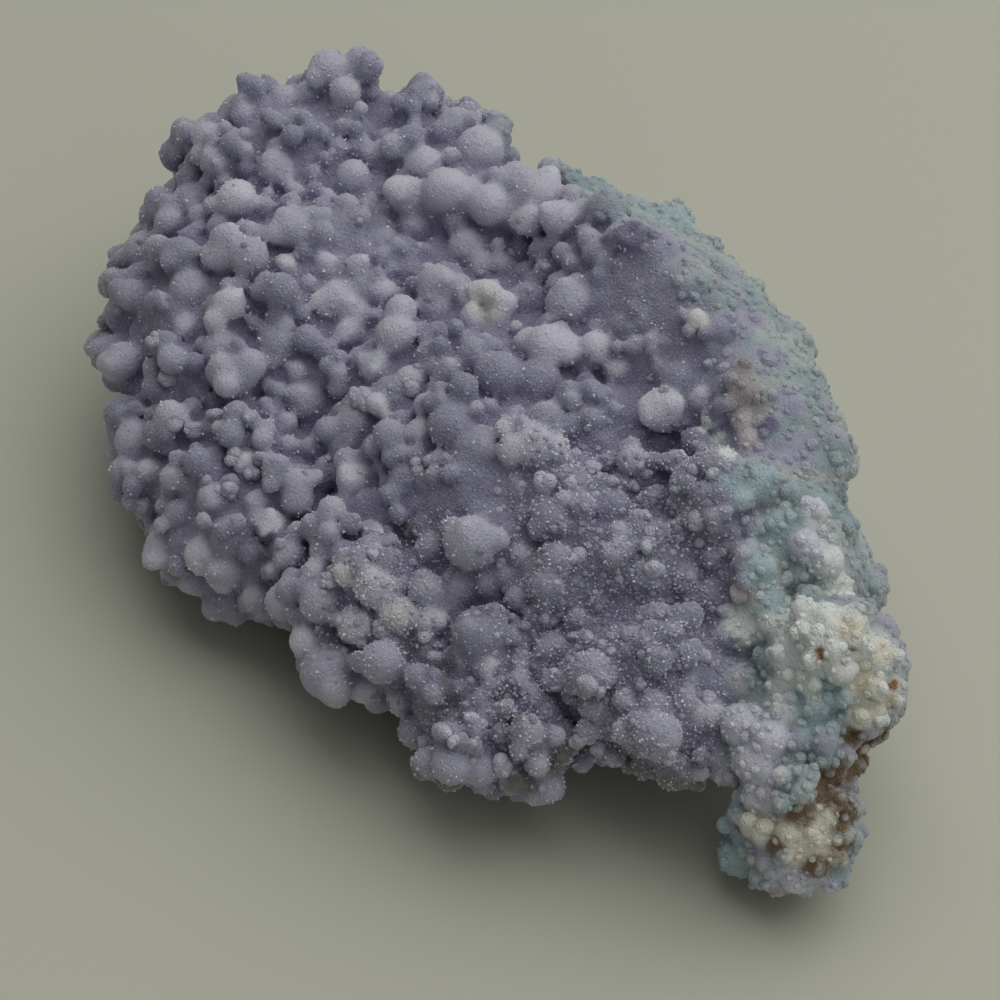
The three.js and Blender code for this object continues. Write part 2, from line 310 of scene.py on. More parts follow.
def in_picture(places):
    """The pixel x and y of places, and how far ahead of the eye they are."""
    from_eye = places - np.array(EYE)
    depth = from_eye @ np.array(SIGHT)
    scale = VIEW_DISTANCE / PIXEL / depth
    x = PICTURE_PIXELS / 2 + from_eye @ np.array(RIGHT) * scale
    y = PICTURE_PIXELS / 2 - from_eye @ np.array(UP) * scale
    return x, y, depth


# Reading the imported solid


def solid_mesh():
    """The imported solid's points in millimetres and its triangles."""
    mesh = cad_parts[NODE].data
    points = np.empty(len(mesh.vertices) * 3, np.float32)
    mesh.vertices.foreach_get("co", points)
    mesh.calc_loop_triangles()
    triangles = np.empty(len(mesh.loop_triangles) * 3, np.int32)
    mesh.loop_triangles.foreach_get("vertices", triangles)
    return points.reshape(-1, 3) / MM, triangles.reshape(-1, 3)


def tree_of(points, faces):
    return BVHTree.FromPolygons(points.tolist(), faces.tolist())


# Distance fields on a dense grid


class Field:
    """Distances to a surface on a dense grid, negative inside."""

    def __init__(self, points, triangles):
        self.first = np.floor((points.min(0) - MARGIN) / VOXEL).astype(int)
        last = np.ceil((points.max(0) + MARGIN) / VOXEL).astype(int)
        self.values = np.zeros(last - self.first + 1, np.float32)
        grid = vdb.FloatGrid.createLevelSetFromPolygons(
            points,
            triangles=triangles.astype(np.uint32),
            transform=vdb.createLinearTransform(voxelSize=VOXEL),
            halfWidth=BAND / VOXEL,
        )
        grid.copyToArray(self.values, ijk=tuple(int(i) for i in self.first))
        self.pales = np.full(self.values.shape, GROUND_PALE, np.float32)

    def places(self):
        """The position of every cell."""
        axes = [(self.first[i] + np.arange(n)) * VOXEL for i, n in enumerate(self.values.shape)]
        return np.stack(np.meshgrid(*axes, indexing="ij"), axis=-1).astype(np.float32)

    def add_ball(self, centre, radius, pale):
        """Joins a ball to the surface, with a soft neck round its foot, and notes how pale it is."""
        reach = radius + 1.5
        low = np.floor((centre - reach) / VOXEL).astype(int) - self.first
        high = np.ceil((centre + reach) / VOXEL).astype(int) - self.first + 1
        low = np.maximum(low, 0)
        high = np.minimum(high, self.values.shape)
        block = tuple(slice(a, b) for a, b in zip(low, high))
        lines = [((self.first[i] + np.arange(low[i], high[i])) * VOXEL - centre[i]) ** 2 for i in range(3)]
        squares = lines[0][:, None, None] + lines[1][None, :, None] + lines[2][None, None, :]
        ball = np.sqrt(squares, dtype=np.float32) - np.float32(radius)
        old = self.values[block]
        blend = np.clip(0.5 + 0.5 * (old - ball) / NECK, 0, 1)
        self.values[block] = old * (1 - blend) + ball * blend - NECK * blend * (1 - blend)
        self.pales[block] += blend * (pale - self.pales[block])

    def mesh(self, kept, shrink):
        """The surface as points and triangles, closed off where the given distances are above 0."""
        grid = vdb.FloatGrid(BAND)
        grid.transform = vdb.createLinearTransform(voxelSize=VOXEL)
        values = np.clip(self.values + shrink + SEAM_DIVE * np.maximum(kept, 0), -BAND, BAND)
        grid.copyFromArray(values.astype(np.float32), ijk=tuple(int(i) for i in self.first))
        points, triangles, quads = grid.convertToPolygons(adaptivity=FLATNESS)
        faces = np.concatenate([triangles, quads[:, [0, 1, 2]], quads[:, [0, 2, 3]]]).astype(np.int32)
        points = points.astype(np.float32)
        return points, faces if signed_volume(points, faces) > 0 else faces[:, ::-1]

    def sample(self, values, points):
        """Values of a grid like this one at given points, by linear interpolation."""
        where = points / VOXEL - self.first
        base = np.clip(np.floor(where).astype(int), 0, np.array(values.shape) - 2)
        part = np.clip(where - base, 0, 1)
        total = np.zeros(len(points), np.float32)
        for corner in np.ndindex(2, 2, 2):
            weight = np.prod(np.where(corner, part, 1 - part), axis=1)
            i, j, k = (base + corner).T
            total += weight * values[i, j, k]
        return total


def blurred(values, reach):
    """A box blur, reach cells to each side."""
    width = 2 * reach + 1
    for axis in range(3):
        pad = [(0, 0)] * 3
        pad[axis] = (reach + 1, reach)
        sums = np.moveaxis(np.cumsum(np.pad(values, pad, mode="edge"), axis=axis), axis, 0)
        values = np.moveaxis((sums[width:] - sums[:-width]) / width, 0, axis)
    return values


def soft_noise(field, cell, rng):
    """Smooth random values from -1 to 1 on a field's grid, with features of the given size."""
    values = rng.uniform(-1, 1, [math.ceil(n * VOXEL / cell) + 2 for n in field.values.shape])
    for axis, n in enumerate(field.values.shape):
        where = np.arange(n) * VOXEL / cell
        base = where.astype(int)
        part = where - base
        part = part * part * (3 - 2 * part)
        shape = [1, 1, 1]
        shape[axis] = n
        part = part.reshape(shape)
        values = np.take(values, base, axis) * (1 - part) + np.take(values, base + 1, axis) * part
    return values.astype(np.float32)


# Zones


def above_seam(points):
    """How far above the seam points are, in millimetres."""
    up = np.array(SEAM_UP)
    return (points - np.array(SEAM_PLACE)) @ (up / np.linalg.norm(up))


def rind_share(points):
    """0 on the purple face and 1 on the rind, for points in millimetres."""
    edge = RIND_Y - RIND_BEND * np.maximum(points[..., 0] - 1, 0) ** 2
    past = np.maximum(points[..., 1] - edge, RIND_UNDER_Z - points[..., 2])
    return np.clip(0.5 + past / (2 * RIND_SOFTNESS), 0, 1)


def nearness(points, spots, reaches):
    """1 at any of the spots, falling off to 0 past their reach."""
    best = np.zeros(len(points), np.float32)
    for spot, reach in zip(spots, reaches):
        squares = ((points - spot) ** 2).sum(1) / reach**2
        best = np.maximum(best, np.exp(-(squares**1.5)))
    return best


# Grapes


# In the picture, a ball of the photograph's and one before it are apart by these shares of their radii.
SHOWN_CLEAR = 0.75
OTHER_CLEAR = 0.9


class Heap:
    """Balls in place on a surface, with a lookup of what is near and of what a line of sight meets."""

    def __init__(self, tree, cell):
        self.tree = tree
        self.cell = cell  # of the lookup, no smaller than two of the largest balls apart
        self.centres = []
        self.normals = []
        self.radii = []
        self.pales = []
        self.cells = {}
        self.shown = np.zeros((0, 4))

    def add(self, centre, normal, radius, pale):
        key = tuple(int(c // self.cell) for c in centre)
        self.cells.setdefault(key, []).append(len(self.radii))
        self.centres.append(np.array(centre))
        self.normals.append(np.array(normal))
        self.radii.append(radius)
        self.pales.append(pale)

    def is_crowded(self, centre, radius, spacing):
        """True if a ball would sit too deep in one that is already there."""
        i, j, k = (int(c // self.cell) for c in centre)
        for cell in np.ndindex(3, 3, 3):
            for other in self.cells.get((i + cell[0] - 1, j + cell[1] - 1, k + cell[2] - 1), ()):
                gap = self.centres[other] - centre
                if gap @ gap < (spacing * (radius + self.radii[other])) ** 2:
                    return True
        return False

    def met(self, x, y):
        """The first place that a line of sight meets, or the nearest one to a line that misses."""
        ray = sight_through(x, y)
        place, _, _, reach = self.tree.ray_cast(EYE, ray)
        if place is None:
            steps = [EYE + ray * (VIEW_DISTANCE + step) for step in range(-60, 61, 2)]
            place = min((self.tree.find_nearest(step) for step in steps), key=lambda found: found[3])[0]
            return np.array(place), ray
        if self.radii:
            from_eye = np.array(self.centres) - np.array(EYE)
            along = from_eye @ np.array(ray)
            off = (from_eye**2).sum(1) - along**2
            inside = np.array(self.radii) ** 2 - off
            fronts = np.where(inside > 0, along - np.sqrt(np.maximum(inside, 0)), np.inf)
            reach = min(reach, fronts.min())
        return np.array(EYE + ray * reach), ray

    def add_bunches(self, bunches, depth):
        """Sets the photograph's balls, each with its middle below the surface by a share of its radius."""
        for pale, balls in bunches.values():
            for x, y, radius in balls:
                place, ray = self.met(x, y)
                centre = place + np.array(ray) * depth * radius
                normal = self.tree.find_nearest(Vector(centre))[1]
                self.add(centre, normal, radius, pale)
        x, y, far = in_picture(np.array(self.centres))
        self.shown = np.stack([x, y, far, np.array(self.radii) / PIXEL], axis=1)

    def covers_shown(self, centre, radius):
        """True if a ball would stand before one of the photograph's balls."""
        x, y, far = in_picture(centre)
        gaps = np.hypot(self.shown[:, 0] - x, self.shown[:, 1] - y)
        close = gaps < SHOWN_CLEAR * self.shown[:, 3] + OTHER_CLEAR * radius / PIXEL
        return bool(np.any(close & (far < self.shown[:, 2])))


BIG = {"least": 1.2, "most": 2.0, "spacing": 0.76, "proud": 0.0, "candidates": 6000}
SMALL = {"least": 0.7, "most": 1.25, "spacing": 0.70, "proud": 0.1, "candidates": 16000}
SWELLS = {"least": 1.3, "most": 2.4, "spacing": 0.9, "proud": -0.7}
GRAINS = {"least": 0.8, "most": 1.25, "spacing": 0.72, "proud": 0.1}
PLAIN_SEEN = 0.35  # of the random big grapes stay where the photograph looks, among its own
GROUND_PALE = 0.1  # how pale the ground between the grapes is
RANDOM_PALE = 0.6  # how pale a random grape is at most
MANY_SMALL = 1.6  # the higher, the more of the random grapes are small
UNEVEN = 0.3  # how much grapes differ in how far they stand proud, in radii
LOWEST = 1.2  # no grape grows below this height
CALM_FEWER = 0.5  # the share of grapes that calm stretches lack
CALM_SMALLER = 0.3  # by what share theirs are smaller
CALM_LOWER = 0.5  # and by how many radii lower


def scatter(heap, low, high, sort, lowered, calm, knobby, rng):
    """Random grapes over the whole solid, where there is room, and low swells and grains on the rind."""
    spots = rng.uniform(low - 2, high + 2, (sort["candidates"], 3))
    luck = rng.uniform(0, 1, (sort["candidates"], 5))
    for spot, chance in zip(spots, luck):
        place, normal, _, _ = heap.tree.find_nearest(Vector(spot))
        if place.z < LOWEST:
            continue
        on_rind = rind_share(np.array(place)) > 0.5
        is_seen = normal.dot(SIGHT) < -0.1
        if sort is BIG and is_seen and not on_rind and chance[4] > PLAIN_SEEN:
            continue
        place = np.array(place)
        kind = sort
        if on_rind:
            kind = GRAINS if nearness(place[None], *knobby)[0] > 0.4 else SWELLS
        size = chance[0] ** MANY_SMALL
        still = 0 if on_rind else nearness(place[None], *calm)[0]
        if chance[1] < CALM_FEWER * still:
            continue
        radius = (kind["least"] + (kind["most"] - kind["least"]) * size) * (1 - CALM_SMALLER * still)
        sunk = kind["proud"] + UNEVEN * (chance[2] - 0.5) - CALM_LOWER * still
        sunk -= CARVED * nearness(place[None], *lowered)[0] / radius
        centre = place + np.array(normal) * (sunk * radius)
        if heap.is_crowded(centre, radius, kind["spacing"]) or heap.covers_shown(centre, radius):
            continue
        heap.add(centre, normal, radius, RANDOM_PALE * chance[3] ** 2)


MOST_BUDS = 4  # on one grape
BUD_LEAN = 0.7  # how far they lean away from the grape's own direction
BUD_REACH = (0.7, 0.9)  # how far out they sit, in the grape's radii
BUD_PALER = 0.3  # by how much at most


def bud(heap, low, high, share, sizes, rng):
    """Smaller grapes that bud from a share of the purple ones from low to high in the heap."""
    for parent in range(low, high):
        centre = heap.centres[parent]
        if rind_share(centre) > 0.5 or rng.uniform() > share:
            continue
        radius = heap.radii[parent]
        for _ in range(rng.integers(1, MOST_BUDS + 1)):
            outward = heap.normals[parent] + rng.normal(0, BUD_LEAN, 3)
            outward /= np.linalg.norm(outward)
            size = radius * rng.uniform(*sizes)
            place = centre + outward * (radius * rng.uniform(*BUD_REACH))
            covers = parent >= len(heap.shown) and heap.covers_shown(place, size)
            if place[2] > 1.0 + size and not covers:
                heap.add(place, outward, size, min(heap.pales[parent] + rng.uniform(0, BUD_PALER), 1))


# Small shapes


def icosphere(level):
    """A unit ball of triangles: 20 faces, and four times as many at each further level."""
    golden = (1 + math.sqrt(5)) / 2
    corners = [(s, t * golden, 0) for s in (-1, 1) for t in (-1, 1)]
    corners = [c[i:] + c[:i] for i in range(3) for c in corners]
    points = [Vector(c).normalized() for c in corners]
    edge = min((points[0] - p).length for p in points[1:]) * 1.01
    faces = []
    for a in range(12):
        for b in range(a + 1, 12):
            for c in range(b + 1, 12):
                if max((points[a] - points[b]).length, (points[b] - points[c]).length) < edge:
                    if (points[c] - points[a]).length < edge:
                        outward = (points[b] - points[a]).cross(points[c] - points[a]).dot(points[a]) > 0
                        faces.append((a, b, c) if outward else (a, c, b))
    for _ in range(level):
        middles = {}

        def middle(a, b):
            key = (min(a, b), max(a, b))
            if key not in middles:
                points.append((points[a] + points[b]).normalized())
                middles[key] = len(points) - 1
            return middles[key]

        finer = []
        for a, b, c in faces:
            ab, bc, ca = middle(a, b), middle(b, c), middle(c, a)
            finer += [(a, ab, ca), (ab, b, bc), (ca, bc, c), (ab, bc, ca)]
        faces = finer
    return np.array(points, np.float32), np.array(faces, np.int32)


def crystal():
    """A pointed six-cornered shape, longer along z."""
    points = np.array([(1, 0, 0), (-1, 0, 0), (0, 1, 0), (0, -1, 0), (0, 0, 1.5), (0, 0, -1)], np.float32)
    faces = [(0, 2, 4), (2, 1, 4), (1, 3, 4), (3, 0, 4), (2, 0, 5), (1, 2, 5), (3, 1, 5), (0, 3, 5)]
    return points, np.array(faces, np.int32)


def turned_to(normals, lean, rng):
    """Rotation matrices that take z to each normal, more or less, with a random twist."""
    z = normals + rng.normal(0, lean, normals.shape)
    z /= np.linalg.norm(z, axis=1, keepdims=True)
    x = np.cross(z, rng.normal(0, 1, normals.shape))
    x /= np.linalg.norm(x, axis=1, keepdims=True)
    return np.stack([x, np.cross(z, x), z], axis=2)


def swarm(shape, centres, radii, turns, stretch, dents):
    """Copies of one small shape, joined: points, faces and which copy each point is of."""
    points, faces = shape
    count = len(centres)
    waves = np.einsum("kj,nj->nk", points, dents[:, :3]) + dents[:, 3:4]
    shaped = points[None] * stretch[:, None, :] * (1 + dents[:, 4:5] * np.sin(waves))[..., None]
    placed = np.einsum("nij,nkj->nki", turns, shaped) * radii[:, None, None] + centres[:, None]
    joined = faces[None] + (np.arange(count) * len(points))[:, None, None]
    owner = np.repeat(np.arange(count), len(points))
    return placed.reshape(-1, 3), joined.reshape(-1, faces.shape[1]), owner


def dents_of(count, depth, rng):
    """For each copy the direction, phase and depth of one wave that dents it."""
    return np.concatenate(
        [rng.normal(0, 2.6, (count, 3)), rng.uniform(0, 6.28, (count, 1)), rng.uniform(0, depth, (count, 1))],
        axis=1,
    )


def sprinkle(body, weights, count, rng):
    """Random spots on the body, more where the points' weights are high: places and outward directions."""
    corners = body["points"][body["faces"]]
    areas = np.linalg.norm(np.cross(corners[:, 1] - corners[:, 0], corners[:, 2] - corners[:, 0]), axis=1)
    shares = areas * weights[body["faces"]].mean(1)
    picked = rng.choice(len(corners), count, p=shares / shares.sum())
    parts = rng.dirichlet((1, 1, 1), count)
    places = (corners[picked] * parts[:, :, None]).sum(1)
    outward = body["normals"][body["faces"][picked]].mean(1)
    return places, outward / np.linalg.norm(outward, axis=1, keepdims=True)


# Meshes


def paint(mesh, **shades):
    """Stores one number for each point of a mesh under each name."""
    for name, values in shades.items():
        layer = mesh.attributes.new(name, "FLOAT", "POINT")
        layer.data.foreach_set("value", np.ascontiguousarray(values, np.float32))


def make_object(name, points, faces, material, smooth=True):
    """A mesh object from points in millimetres and faces of one size."""
    mesh = bpy.data.meshes.new(name)
    count, sides = faces.shape
    mesh.vertices.add(len(points))
    mesh.vertices.foreach_set("co", (points * MM).astype(np.float32).ravel())
    mesh.loops.add(faces.size)
    mesh.loops.foreach_set("vertex_index", faces.astype(np.int32).ravel())
    mesh.polygons.add(count)
    mesh.polygons.foreach_set("loop_start", np.arange(0, faces.size, sides, dtype=np.int32))
    mesh.polygons.foreach_set("use_smooth", np.full(count, smooth))
    mesh.update(calc_edges=True)
    mesh.materials.append(material)
    thing = bpy.data.objects.new(name, mesh)
    bpy.context.collection.objects.link(thing)
    return thing


def part_of_stone(thing):
    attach(thing, "root")
    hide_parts(NODE)


def signed_volume(points, triangles):
    a, b, c = (points[triangles[:, i]] for i in range(3))
    return np.einsum("ij,ij->i", a, np.cross(b, c)).sum() / 6


# Materials


def material_of(name):
    material = bpy.data.materials.new(name)
    material.use_nodes = True
    nodes = material.node_tree.nodes
    nodes.clear()
    out = nodes.new("ShaderNodeOutputMaterial")
    shader = nodes.new("ShaderNodeBsdfPrincipled")
    material.node_tree.links.new(shader.outputs["BSDF"], out.inputs["Surface"])
    return material, shader


def attribute(tree, name):
    node = tree.nodes.new("ShaderNodeAttribute")
    node.attribute_name = name
    return node.outputs["Fac"]


def feed(tree, socket, value):
    """Links a socket to another, or sets it to a number or a colour."""
    if isinstance(value, bpy.types.NodeSocket):
        tree.links.new(value, socket)
    elif isinstance(value, (int, float)):
        socket.default_value = value
    else:
        socket.default_value = (*value, 1)


def mix(tree, factor, first, second):
    """A colour mixed from two, each a colour or a socket."""
    node = tree.nodes.new("ShaderNodeMix")
    node.data_type = "RGBA"
    sockets = (node.inputs["Factor"], node.inputs[6], node.inputs[7])
    for socket, value in zip(sockets, (factor, first, second)):
        feed(tree, socket, value)
    return node.outputs[2]


def reckon(tree, operation, first, second):
    """One step of arithmetic on sockets and numbers."""
    node = tree.nodes.new("ShaderNodeMath")
    node.operation = operation
    feed(tree, node.inputs[0], first)
    feed(tree, node.inputs[1], second)
    return node.outputs[0]


def scaled(tree, value, factor, more=0.0):
    """A socket's value times a factor, plus a number."""
    return reckon(tree, "ADD", reckon(tree, "MULTIPLY", value, factor), more)


def stepped(tree, value, low, high):
    """0 below low and 1 above high, with a smooth rise between."""
    node = tree.nodes.new("ShaderNodeMapRange")
    node.interpolation_type = "SMOOTHSTEP"
    node.inputs["From Min"].default_value = low
    node.inputs["From Max"].default_value = high
    tree.links.new(value, node.inputs["Value"])
    return node.outputs["Result"]


def noise(tree, size):
    """Noise with features of the given size in millimetres."""
    place = tree.nodes.new("ShaderNodeTexCoord")
    node = tree.nodes.new("ShaderNodeTexNoise")
    node.inputs["Scale"].default_value = 1 / (size * MM)
    node.inputs["Detail"].default_value = 2.0
    node.inputs["Roughness"].default_value = 0.55
    tree.links.new(place.outputs["Object"], node.inputs["Vector"])
    return node.outputs["Fac"]


# The first colour goes in crevices: a stronger purple, painted lighter than the middle tone as painted light
# that offsets their shade.
DEEP_PURPLE_PAINTED_LIGHTER = (0.255, 0.240, 0.380)
MIDDLE = (0.205, 0.200, 0.315)
PALE = (0.250, 0.250, 0.350)
FROST = (0.700, 0.700, 0.800)
IN_THE_CRACKS = ("brown", "ochre", "recess_purple_and_painted_shade")  # patches that the tops of the grains stand clear of


def stone_colour(tree):
    """Purple with painted light in the depths that offsets their shade, paler on what stands out, with the
    rind's colours and the patches.
    """
    top = attribute(tree, "top")
    opened = reckon(tree, "ADD", attribute(tree, "open"), scaled(tree, noise(tree, 1.4), 0.5, -0.25))
    opened = reckon(tree, "ADD", opened, scaled(tree, top, 0.3, -0.15))
    # Painted light in the crevices: they get the lighter, stronger purple.
    colour = mix(tree, stepped(tree, opened, 0.05, 0.50), DEEP_PURPLE_PAINTED_LIGHTER, MIDDLE)
    colour = mix(tree, stepped(tree, opened, 0.45, 1.0), colour, PALE)
    light = reckon(tree, "MULTIPLY", attribute(tree, "pale"), stepped(tree, opened, 0.1, 0.6))
    colour = mix(tree, scaled(tree, light, 0.9), colour, FROST)
    grain = stepped(tree, noise(tree, 0.17), 0.52, 0.70)
    colour = mix(tree, scaled(tree, grain, 0.40), colour, FROST)
    clouds = stepped(tree, noise(tree, 0.9), 0.52, 0.75)
    colour = mix(tree, scaled(tree, clouds, 0.15), colour, FROST)
    colour = mix(tree, attribute(tree, "rind"), colour, rind_colour(tree, top))
    ragged = scaled(tree, stepped(tree, noise(tree, 0.9), 0.3, 0.6), 0.5, 0.5)
    cracks = scaled(tree, stepped(tree, top, 1.0, 0.4), 0.65, 0.35)
    for name, (shade, _) in PATCHES.items():
        strength = reckon(tree, "MULTIPLY", attribute(tree, name), ragged)
        if name in IN_THE_CRACKS:
            strength = reckon(tree, "MULTIPLY", strength, cracks)
        colour = mix(tree, stepped(tree, strength, 0.05, 0.75), colour, shade)
    return colour


def rind_colour(tree, top):
    """Teal, mint, cream and lilac in broad patches, brighter on the granules, with painted shade between
    them.
    """
    teal = (0.290, 0.390, 0.430)
    mint = (0.430, 0.505, 0.520)
    cream = (0.490, 0.510, 0.490)
    lilac = (0.370, 0.375, 0.475)
    bright = (0.58, 0.60, 0.55)
    shaded = (0.17, 0.20, 0.19)
    colour = mix(tree, stepped(tree, noise(tree, 5.0), 0.42, 0.58), teal, mint)
    colour = mix(tree, stepped(tree, noise(tree, 2.1), 0.54, 0.68), colour, cream)
    colour = mix(tree, stepped(tree, noise(tree, 6.3), 0.52, 0.66), colour, lilac)
    pale = reckon(tree, "MULTIPLY", attribute(tree, "pale"), stepped(tree, top, 0.3, 0.9))
    colour = mix(tree, scaled(tree, pale, 0.4), colour, bright)
    # Painted shade: darker round the feet of the granules and between them.
    sunk = stepped(tree, top, 0.5, 0.0)
    return mix(tree, scaled(tree, sunk, 0.45), colour, shaded)


def chalcedony():
    """Frosted translucent stone, finely grained."""
    material, shader = material_of("purple_chalcedony")
    tree = material.node_tree
    tree.links.new(stone_colour(tree), shader.inputs["Base Color"])
    shine = tree.nodes.new("ShaderNodeMapRange")
    tree.links.new(noise(tree, 0.9), shine.inputs["Value"])
    shine.inputs["To Min"].default_value = 0.28
    shine.inputs["To Max"].default_value = 0.60
    tree.links.new(shine.outputs["Result"], shader.inputs["Roughness"])
    tree.links.new(attribute(tree, "deep"), shader.inputs["Subsurface Weight"])
    shader.inputs["Subsurface Radius"].default_value = (1.0, 0.96, 1.06)
    shader.inputs["Subsurface Scale"].default_value = 2.6 * MM
    shader.inputs["Sheen Weight"].default_value = 0.4
    shader.inputs["Sheen Roughness"].default_value = 0.5
    lumps = bumped(tree, noise(tree, 0.8), 0.25, None)
    grains = bumped(tree, noise(tree, 0.20), 0.26, lumps)
    tree.links.new(grains, shader.inputs["Normal"])
    return material


def bumped(tree, height, depth, below):
    """A normal raised by a height from 0 to 1 of the given depth in millimetres, on top of another."""
    bump = tree.nodes.new("ShaderNodeBump")
    bump.inputs["Distance"].default_value = depth * MM
    tree.links.new(height, bump.inputs["Height"])
    if below:
        tree.links.new(below, bump.inputs["Normal"])
    return bump.outputs["Normal"]


def druse():
    """Tiny clear crystals, with painted light and shade by how open they stand, and painted glints that
    whiten some at random.
    """
    material, shader = material_of("quartz_druse")
    tree = material.node_tree
    shaded = (0.30, 0.29, 0.41)
    lit = (0.43, 0.43, 0.55)
    glint = (0.80, 0.80, 0.88)
    # Painted light where the crystals stand open and painted shade where they are crowded.
    colour = mix(tree, stepped(tree, attribute(tree, "open"), 0.1, 0.8), shaded, lit)
    colour = mix(tree, attribute(tree, "pale"), colour, FROST)
    # Painted glints: crystals whitened at random, as if catching the light.
    colour = mix(tree, reckon(tree, "POWER", attribute(tree, "luck"), 2.0), colour, glint)
    tree.links.new(colour, shader.inputs["Base Color"])
    shader.inputs["Roughness"].default_value = 0.22
    return material


# The stage


def floor():
    material, shader = material_of("pale_floor")
    shader.inputs["Base Color"].default_value = (0.50, 0.505, 0.42, 1)
    shader.inputs["Roughness"].default_value = 0.7
    mesh = bpy.data.meshes.new("floor")
    half = 0.8
    corners = [(-half, -half, 0), (half, -half, 0), (half, half, 0), (-half, half, 0)]
    mesh.from_pydata(corners, [], [(0, 1, 2, 3)])
    mesh.materials.append(material)
    thing = bpy.data.objects.new("floor", mesh)
    bpy.context.collection.objects.link(thing)


def camera():
    lens = bpy.data.cameras.new("photo_view")
    lens.lens = LENS
    lens.sensor_width = SENSOR
    lens.clip_start = 0.01
    thing = bpy.data.objects.new("photo_view", lens)
    turn = Matrix((RIGHT, UP, -SIGHT)).transposed().to_4x4()
    thing.matrix_world = Matrix.Translation(EYE * MM) @ turn
    bpy.context.collection.objects.link(thing)
    bpy.context.scene.camera = thing


def area_light(name, place, size, power, colour):
    """A square soft light that looks at the stone. The place is right, ahead and up from the target."""
    lamp = bpy.data.lights.new(name, "AREA")
    lamp.size = size
    lamp.energy = power
    lamp.color = colour
    thing = bpy.data.objects.new(name, lamp)
    ahead = Vector((SIGHT.x, SIGHT.y, 0)).normalized()
    spot = RIGHT * place[0] + ahead * place[1] + Vector((0, 0, place[2]))
    thing.location = VIEW_TARGET * MM + spot
    thing.rotation_euler = (-spot).to_track_quat("-Z", "Y").to_euler()
    bpy.context.collection.objects.link(thing)


def lights():
    area_light("window", place=(0.22, 0.19, 0.60), size=1.1, power=5.0, colour=(1.0, 0.99, 0.97))
    area_light("room", place=(0.24, -0.44, 0.32), size=0.5, power=0.36, colour=(0.98, 0.99, 1.0))
    world = bpy.data.worlds.new("studio")
    world.use_nodes = True
    world.node_tree.nodes["Background"].inputs["Color"].default_value = (0.97, 0.98, 1.0, 1)
    world.node_tree.nodes["Background"].inputs["Strength"].default_value = 0.12
    bpy.context.scene.world = world
    bpy.context.scene.view_settings.view_transform = "Standard"


# The stone


class Painter:
    """Works out the numbers that the materials read, for any point on the stone."""

    def __init__(self, field, patches):
        self.field = field
        inside = np.clip(0.5 - field.values / VOXEL, 0, 1)
        self.near_crowd = blurred(inside, 2)
        self.crowd = blurred(blurred(inside, 5), 5)
        self.patches = patches

    def shades(self, points, outward):
        """How open, raised, pale and translucent the points are, and how far they are in each patch."""
        crowded = self.field.sample(self.crowd, points + 0.5 * outward)
        pressed = self.field.sample(self.near_crowd, points + 0.2 * outward)
        found = {
            "open": np.clip(1.25 - 1.6 * crowded, 0, 1),
            "top": np.clip(1.35 - 2.2 * pressed, 0, 1),
            "pale": self.field.sample(self.field.pales, points),
            "rind": rind_share(points),
            "deep": TRANSLUCENT * np.clip(np.abs(above_seam(points)) / SEAM_FADE, 0, 1),
        }
        for name, (spots, reaches) in self.patches.items():
            found[name] = nearness(points, spots, reaches)
        return found


def seen_at(heap, spots):
    """Places and reaches of spots given by pixel."""
    places = np.array([heap.met(x, y)[0] for x, y, _ in spots])
    return places, np.array([reach for _, _, reach in spots])


MOST_TRIANGLES = 190000  # in one piece
FINE_RADIUS = 0.62  # larger balls have more faces


def balls(name, heap, material, painter, rng):
    """A heap's balls as meshes, in as many pieces as their triangles need."""
    centres = np.array(heap.centres)
    normals = np.array(heap.normals)
    radii = np.array(heap.radii)
    pales = np.array(heap.pales)
    for size, level in (("large", 2), ("small", 1)):
        shape = icosphere(level)
        wanted = np.flatnonzero((radii >= FINE_RADIUS) == (size == "large"))
        at_once = MOST_TRIANGLES // len(shape[1])
        for part in range(math.ceil(len(wanted) / at_once)):
            some = wanted[part * at_once:(part + 1) * at_once]
            points, faces, owner = swarm(
                shape,
                centres[some],
                radii[some],
                turned_to(normals[some], 3.0, rng),
                rng.uniform(0.93, 1.07, (len(some), 3)),
                dents_of(len(some), 0.16, rng),
            )
            away = points - centres[some][owner]
            away /= np.linalg.norm(away, axis=1, keepdims=True)
            thing = make_object(f"{name}_{size}_{part + 1}", points, faces, material)
            shades = painter.shades(points, away)
            shades["pale"] = pales[some][owner]
            shades["deep"] = np.zeros(len(points))  # too small for light to spread inside
            shades["top"] = np.clip((away * normals[some][owner]).sum(1), 0, 1)
            paint(thing.data, **shades)
            part_of_stone(thing)
            print(thing.name, len(some), "triangles", len(faces))


def fused_field(points, triangles, base, calm, lowered, dense, rng):
    """The solid with its valleys deepened, the balls grown into it, and all of it a little uneven."""
    field = Field(points, triangles)
    field.values = blurred(field.values, 1)
    cells = field.places()
    near = np.abs(field.values) < 2.5
    valley = VALLEY * (1 - rind_share(cells))
    stillness = nearness(cells[near], *calm)
    valley[near] *= 1 - stillness
    valley[near] += CARVED * nearness(cells[near], *lowered)
    field.values[near] += stillness * (blurred(field.values, 4)[near] - field.values[near])
    field.values += valley + SWELL_DEPTH * soft_noise(field, SWELL_SIZE, rng)
    for centre, radius, pale in zip(base.centres, base.radii, base.pales):
        field.add_ball(centre, radius, pale)
    rough = np.full(field.values.shape, GRAIN_DEPTH, np.float32)
    rough[near] += DRUSE_DEPTH * nearness(cells[near], *dense)
    field.values += DIMPLE_DEPTH * soft_noise(field, DIMPLE_SIZE, rng)
    field.values += rough * soft_noise(field, GRAIN_SIZE, rng)
    field.values = np.maximum(field.values, -cells[..., 2])
    return field


